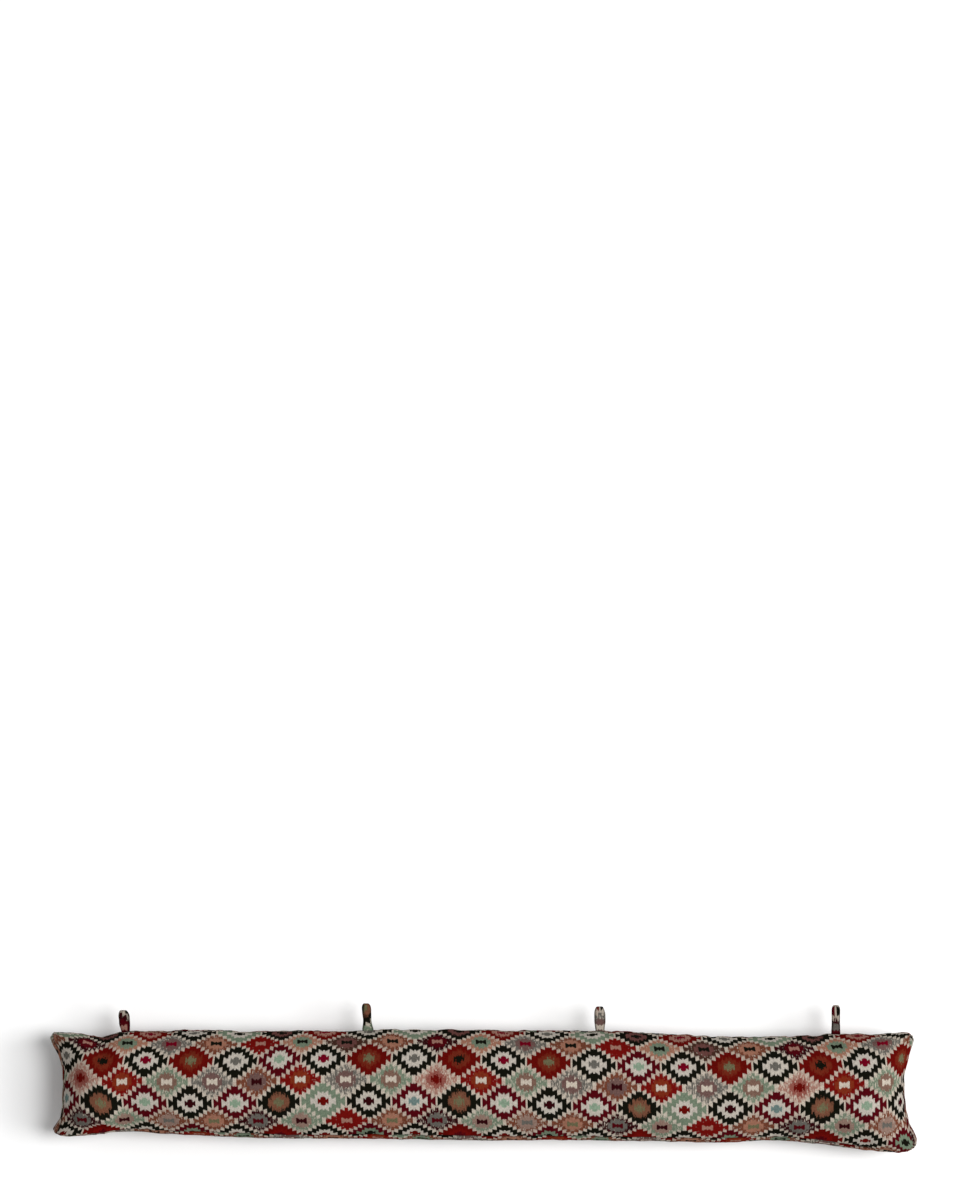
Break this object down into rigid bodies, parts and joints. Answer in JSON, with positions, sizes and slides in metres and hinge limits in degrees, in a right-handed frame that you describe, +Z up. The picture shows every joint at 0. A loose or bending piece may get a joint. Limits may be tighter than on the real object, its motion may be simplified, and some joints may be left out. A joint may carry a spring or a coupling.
{
  "type": "draught excluder",
  "caption": "Long stuffed cloth draught excluder in a kilim weave, with drawn-in ends, rounded corner ears and cloth hanging loops in its top seam.",
  "frame": {"origin": "on the resting surface, under the middle of the whole object's box", "axes": "+X along the cushion, +Y towards the seam that holds the loops, +Z up out of its face"},
  "size_m": [0.9, 0.153, 0.105],
  "materials": {
    "cover_cloth": "coarse woven tapestry, matt",
    "loop_cloth": "coarse woven tapestry, matt"
  },
  "bodies": {
    "root": {"cover": "cover_cloth", "loop_1": "loop_cloth", "loop_2": "loop_cloth", "loop_3": "loop_cloth", "loop_4": "loop_cloth"}
  },
  "joints": []
}
